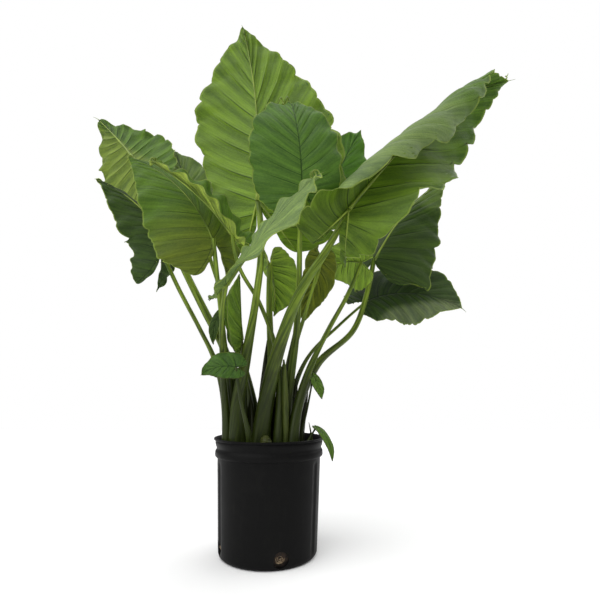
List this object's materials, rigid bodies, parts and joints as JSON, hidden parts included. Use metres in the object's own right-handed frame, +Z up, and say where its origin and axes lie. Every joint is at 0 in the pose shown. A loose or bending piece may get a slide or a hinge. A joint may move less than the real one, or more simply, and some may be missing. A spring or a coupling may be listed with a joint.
{
  "type": "potted alocasia",
  "caption": "Large potted aroid with long stems that carry broad, wavy-edged, arrow-shaped leaves, standing in soil in a round black nursery pot.",
  "frame": {"origin": "centre of the pot's flat underside, where it stands on the floor", "axes": "+Z is up, +X runs to the side that the longest leaf leans to, and -Y is the front, which faces the picture's camera"},
  "size_m": [1.2975, 0.5375, 1.365],
  "materials": {
    "pot": "semi-matte",
    "soil": "rough",
    "corm": "satin",
    "crown": "satin",
    "bract_front": "satin",
    "sprout_upright": "satin",
    "sprout_over_rim": "satin",
    "leaf_back_tall": "satin",
    "leaf_centre": "satin",
    "leaf_centre_tip": "satin",
    "leaf_front_long": "satin",
    "leaf_folded_small": "satin",
    "leaf_low_small": "satin",
    "leaf_hanging_green": "satin",
    "leaf_hanging_olive": "satin",
    "leaf_under_right": "satin",
    "leaf_right_long": "satin",
    "leaf_right_dark": "satin",
    "leaf_right_low": "satin",
    "leaf_left_far": "satin",
    "leaf_left_front": "satin",
    "leaf_left_low": "satin",
    "leaf_left_narrow": "satin",
    "leaf_left_grey": "satin",
    "leaf_bud_left": "satin",
    "leaf_bud_right": "satin"
  },
  "bodies": {
    "root": {"pot": "pot", "soil": "soil", "corm": "corm", "crown": "crown", "bract_front": "bract_front", "sprout_upright": "sprout_upright", "sprout_over_rim": "sprout_over_rim", "leaf_back_tall": "leaf_back_tall", "leaf_centre": "leaf_centre", "leaf_centre_tip": "leaf_centre_tip", "leaf_front_long": "leaf_front_long", "leaf_folded_small": "leaf_folded_small", "leaf_low_small": "leaf_low_small", "leaf_hanging_green": "leaf_hanging_green", "leaf_hanging_olive": "leaf_hanging_olive", "leaf_under_right": "leaf_under_right", "leaf_right_long": "leaf_right_long", "leaf_right_dark": "leaf_right_dark", "leaf_right_low": "leaf_right_low", "leaf_left_far": "leaf_left_far", "leaf_left_front": "leaf_left_front", "leaf_left_low": "leaf_left_low", "leaf_left_narrow": "leaf_left_narrow", "leaf_left_grey": "leaf_left_grey", "leaf_bud_left": "leaf_bud_left", "leaf_bud_right": "leaf_bud_right"}
  },
  "joints": []
}
